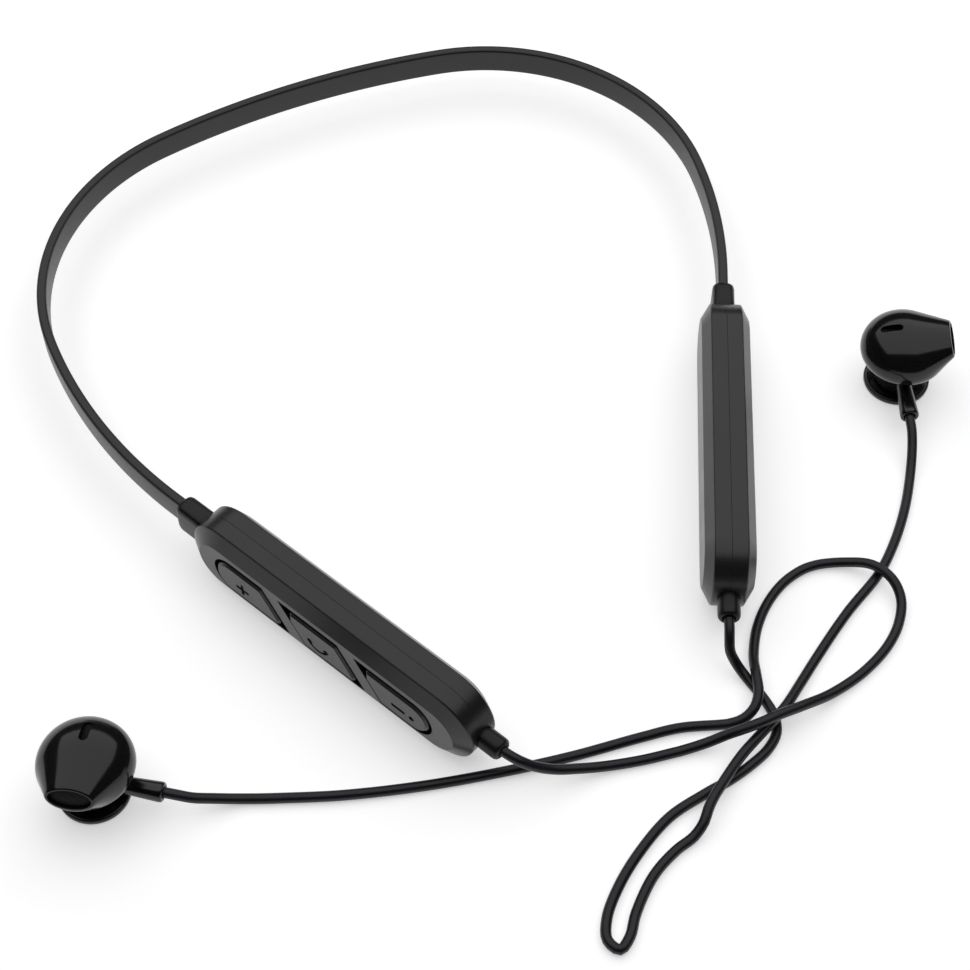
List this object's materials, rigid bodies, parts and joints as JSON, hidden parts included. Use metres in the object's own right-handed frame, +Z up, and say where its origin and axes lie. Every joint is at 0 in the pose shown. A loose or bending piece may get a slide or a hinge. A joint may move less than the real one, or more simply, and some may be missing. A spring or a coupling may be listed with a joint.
{
  "type": "neckband earphones",
  "caption": "Flexible neckband between a button pod and a battery pod, with corded in-ear earbuds that have magnetic discs.",
  "frame": {"origin": "centre, in plan, of everything except the earbud cords, on the plane the set lies on", "axes": "+Z up from the table; +Y from the cable ends of the pods towards the middle of the neckband; +X from the button pod towards the battery pod"},
  "size_m": [0.1816, 0.2076, 0.0166],
  "materials": {
    "pod": "fine matte grain",
    "cap": "fine matte grain",
    "board": "solder mask",
    "steel": "plain",
    "chip": "shield can grey",
    "brass": "plain",
    "boot": "soft matte",
    "foil": "foil pouch",
    "band": "smooth matte",
    "spring_wire": "plain",
    "copper": "insulated wire",
    "cord": "smooth satin",
    "bud": "high gloss",
    "mesh": "fine mesh",
    "driver": "plain",
    "magnet": "nickel plated"
  },
  "bodies": {
    "left_side": {"left_outer_shell": "pod", "left_inner_shell": "pod", "control_board": "board", "tact_switches": "steel", "radio_module": "chip", "microphone": "brass", "usb_socket": "steel", "left_band_boot": "boot", "left_cable_boot": "boot", "band_left_half": "band", "memory_wire": "spring_wire", "signal_wires": "copper", "cord_left": "cord", "left_dome": "bud", "left_back": "bud", "left_nozzle_mesh": "mesh", "left_vent_mesh": "mesh", "left_driver": "driver", "left_driver_magnet": "magnet", "left_disc": "bud", "left_clasp_magnet": "magnet", "left_bud_boot": "boot"},
    "right_side": {"right_outer_shell": "pod", "right_inner_shell": "pod", "right_band_boot": "boot", "right_cable_boot": "boot", "right_dome": "bud", "right_back": "bud", "right_nozzle_mesh": "mesh", "right_vent_mesh": "mesh", "right_driver": "driver", "right_driver_magnet": "magnet", "right_disc": "bud", "right_clasp_magnet": "magnet", "right_bud_boot": "boot", "battery_cell": "foil", "protection_board": "board", "band_right_half": "band", "cord_right": "cord"},
    "plus_key": {"button_plus": "cap"},
    "call_key": {"button_call": "cap"},
    "minus_key": {"button_minus": "cap"}
  },
  "joints": [
    {"name": "plus_key_press", "type": "slide", "parent": "left_side", "child": "plus_key", "axis": [0.6494, 0.7604, 0], "range_m": [0, 0.0004], "stiffness_N_per_m": 300},
    {"name": "call_key_press", "type": "slide", "parent": "left_side", "child": "call_key", "axis": [0.6494, 0.7604, 0], "range_m": [0, 0.0004], "stiffness_N_per_m": 300},
    {"name": "minus_key_press", "type": "slide", "parent": "left_side", "child": "minus_key", "axis": [0.6494, 0.7604, 0], "range_m": [0, 0.0004], "stiffness_N_per_m": 300},
    {"name": "band_flex", "type": "hinge", "parent": "left_side", "child": "right_side", "pos_m": [-0.04498, 0.08009, 0.0083], "axis": [0, 0, 1], "range_deg": [-5, 10], "stiffness_Nm_per_rad": 0.15, "deforming": ["memory_wire", "signal_wires", "cord_left", "cord_right"]}
  ]
}
